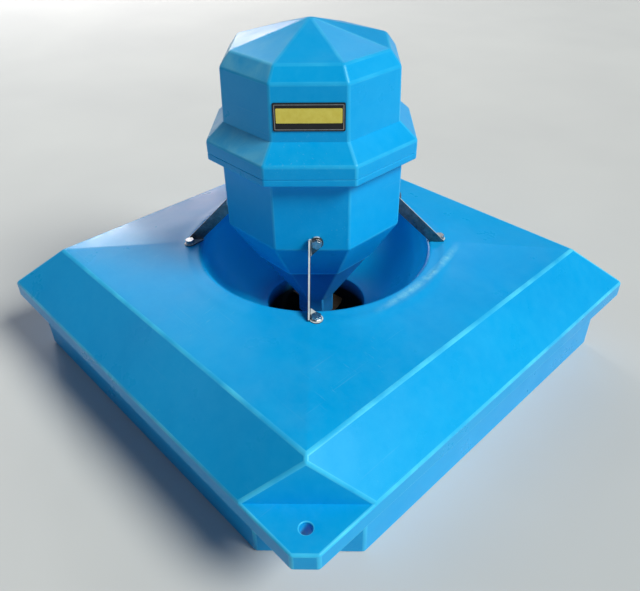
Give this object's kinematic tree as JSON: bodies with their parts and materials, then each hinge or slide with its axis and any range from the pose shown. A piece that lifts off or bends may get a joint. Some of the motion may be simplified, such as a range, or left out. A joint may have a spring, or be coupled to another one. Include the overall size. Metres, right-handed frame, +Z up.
{
  "type": "floating pond aerator",
  "caption": "Square floating pond aerator: hollow float with a bowl and throat, upright motor in an eight-sided housing on bar arms, and a propeller.",
  "frame": {"origin": "on the centre line, at the underside of the float", "axes": "+Z up along the drive shaft; the float's sides lie along X and Y; the front, with the nameplate and a mooring tab, faces +X -Y"},
  "size_m": [1, 1, 0.7735],
  "materials": {
    "float_blue": "satin moulded polyethylene",
    "housing_blue": "satin moulded polyethylene",
    "black_plastic": "moulded, slightly grained",
    "propeller_plastic": "glass-filled nylon",
    "nylon": "machined",
    "rubber": "moulded",
    "seal_rubber": "moulded",
    "brass": "machined",
    "copper": "varnished copper wire",
    "zinc_steel": "bright zinc plated",
    "zinc_bar": "bright zinc plated flat bar",
    "plate_steel": "primed steel plate",
    "motor_paint": "grey enamel on a ribbed casting",
    "black_paint": "black enamel on pressed sheet",
    "lamination_steel": "stacked sheet",
    "rotor_aluminium": "cast over a stack, turned",
    "bearing_steel": "ground",
    "shaft_steel": "turned",
    "stainless_steel": "turned stainless",
    "nameplate_black": "printed label plate with a bright rim and a bare yellow panel"
  },
  "bodies": {
    "float_frame": {"float_shell": "float_blue", "vent_plug": "black_plastic", "foot_inserts": "brass", "intake_guard": "black_plastic", "guard_screws": "zinc_steel", "arm_front": "zinc_bar", "arm_right": "zinc_bar", "arm_back": "zinc_bar", "arm_left": "zinc_bar", "foot_bolts": "zinc_steel", "foot_washers": "zinc_steel", "wall_bolts": "zinc_steel", "wall_washers": "zinc_steel", "wall_nuts": "zinc_steel", "motor_housing": "housing_blue", "neck_bush": "nylon", "neck_seal": "rubber", "cable_gland": "black_plastic", "gland_nut": "black_plastic", "motor_plate": "plate_steel", "plate_bolts": "zinc_steel", "plate_nuts": "zinc_steel", "flange_bolts": "zinc_steel", "flange_nuts": "zinc_steel", "drive_end_shield": "motor_paint", "shaft_seal": "seal_rubber", "motor_frame": "motor_paint", "stator_core": "lamination_steel", "stator_windings": "copper", "fan_end_shield": "motor_paint", "shield_bolts": "zinc_steel", "terminal_box": "motor_paint", "terminal_lid": "motor_paint", "lid_screws": "zinc_steel", "fan_cover": "black_paint", "cover_screws": "zinc_steel", "bearing_outer_rings": "bearing_steel", "cap_gasket": "rubber"},
    "cap": {"motor_cap": "housing_blue", "nameplate": "nameplate_black"},
    "rotor": {"bearing_inner_rings": "bearing_steel", "rotor_core": "rotor_aluminium", "motor_shaft": "shaft_steel", "cooling_fan": "black_plastic", "fan_clip": "shaft_steel", "coupling_sleeve": "shaft_steel", "coupling_screws": "shaft_steel", "drive_shaft": "stainless_steel", "shaft_keys": "shaft_steel", "slinger": "rubber", "propeller": "propeller_plastic", "propeller_washer": "stainless_steel", "propeller_nut": "stainless_steel"},
    "lower_cage": {"lower_bearing_cage": "brass", "lower_bearing_balls": "bearing_steel"},
    "upper_cage": {"upper_bearing_cage": "brass", "upper_bearing_balls": "bearing_steel"}
  },
  "joints": [
    {"name": "rotor_spin", "type": "hinge", "parent": "float_frame", "child": "rotor", "pos_m": [0, 0, 0.4], "axis": [0, 0, 1], "continuous": true},
    {"name": "cap_lift", "type": "slide", "parent": "float_frame", "child": "cap", "axis": [0, 0, 1], "range_m": [0, 0.15]},
    {"name": "lower_cage_spin", "type": "hinge", "parent": "float_frame", "child": "lower_cage", "pos_m": [0, 0, 0.417], "axis": [0, 0, 1], "continuous": true},
    {"name": "upper_cage_spin", "type": "hinge", "parent": "float_frame", "child": "upper_cage", "pos_m": [0, 0, 0.604], "axis": [0, 0, 1], "continuous": true}
  ],
  "couplings": [
    {"joint": "lower_cage_spin", "follows": "rotor_spin", "ratio": 0.3985},
    {"joint": "upper_cage_spin", "follows": "rotor_spin", "ratio": 0.3837}
  ]
}
